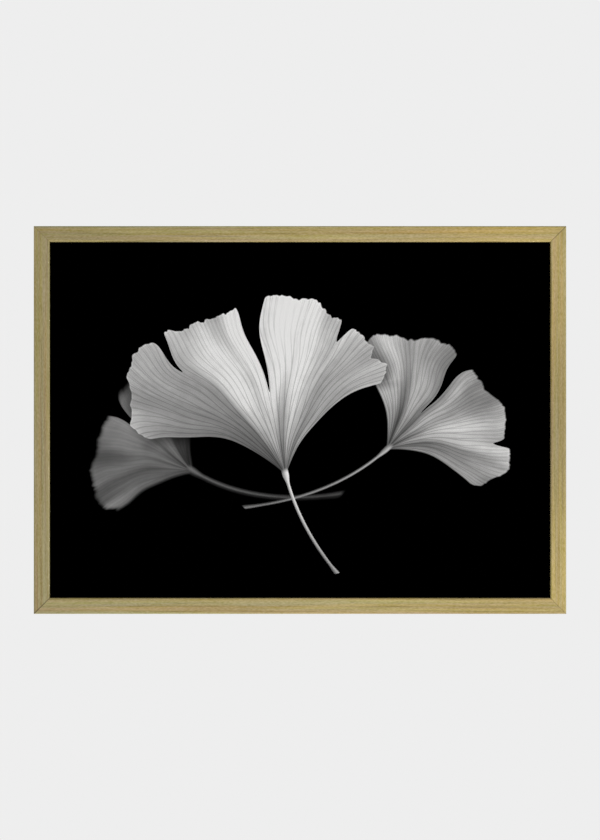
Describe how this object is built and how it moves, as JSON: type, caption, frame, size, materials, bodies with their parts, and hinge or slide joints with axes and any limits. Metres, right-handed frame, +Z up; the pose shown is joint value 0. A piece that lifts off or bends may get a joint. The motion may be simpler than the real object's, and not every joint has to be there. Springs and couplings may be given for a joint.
{
  "type": "framed art print",
  "caption": "Landscape art print on black under clear acrylic in a slim mitred gold wooden frame, with toothed hangers on its back.",
  "frame": {"origin": "on the wall plane, at the line of the wall nail that carries the landscape hanger by its middle notch", "axes": "+X to the right as seen from the front, +Y from the front towards the wall, +Z up"},
  "size_m": [0.736, 0.025, 0.536],
  "materials": {
    "gold_wood": "satin",
    "clear_acrylic": "polished",
    "print": "satin",
    "hardboard": "matte",
    "spring_steel": "satin",
    "zinc_steel": "gloss"
  },
  "bodies": {
    "root": {"moulding_top": "gold_wood", "moulding_right": "gold_wood", "moulding_bottom": "gold_wood", "moulding_left": "gold_wood", "acrylic_sheet": "clear_acrylic", "print": "print", "backing_board": "hardboard", "corner_nail_top_left": "zinc_steel", "corner_nail_top_right": "zinc_steel", "corner_nail_bottom_left": "zinc_steel", "corner_nail_bottom_right": "zinc_steel", "tab_top_1": "spring_steel", "tab_top_2": "spring_steel", "tab_top_3": "spring_steel", "tab_top_4": "spring_steel", "tab_right_1": "spring_steel", "tab_right_2": "spring_steel", "tab_right_3": "spring_steel", "tab_bottom_1": "spring_steel", "tab_bottom_2": "spring_steel", "tab_bottom_3": "spring_steel", "tab_bottom_4": "spring_steel", "tab_left_1": "spring_steel", "tab_left_2": "spring_steel", "tab_left_3": "spring_steel", "hanger_landscape": "zinc_steel", "hanger_portrait": "zinc_steel", "rivet_1": "zinc_steel", "rivet_2": "zinc_steel", "rivet_3": "zinc_steel", "rivet_4": "zinc_steel"}
  },
  "joints": []
}
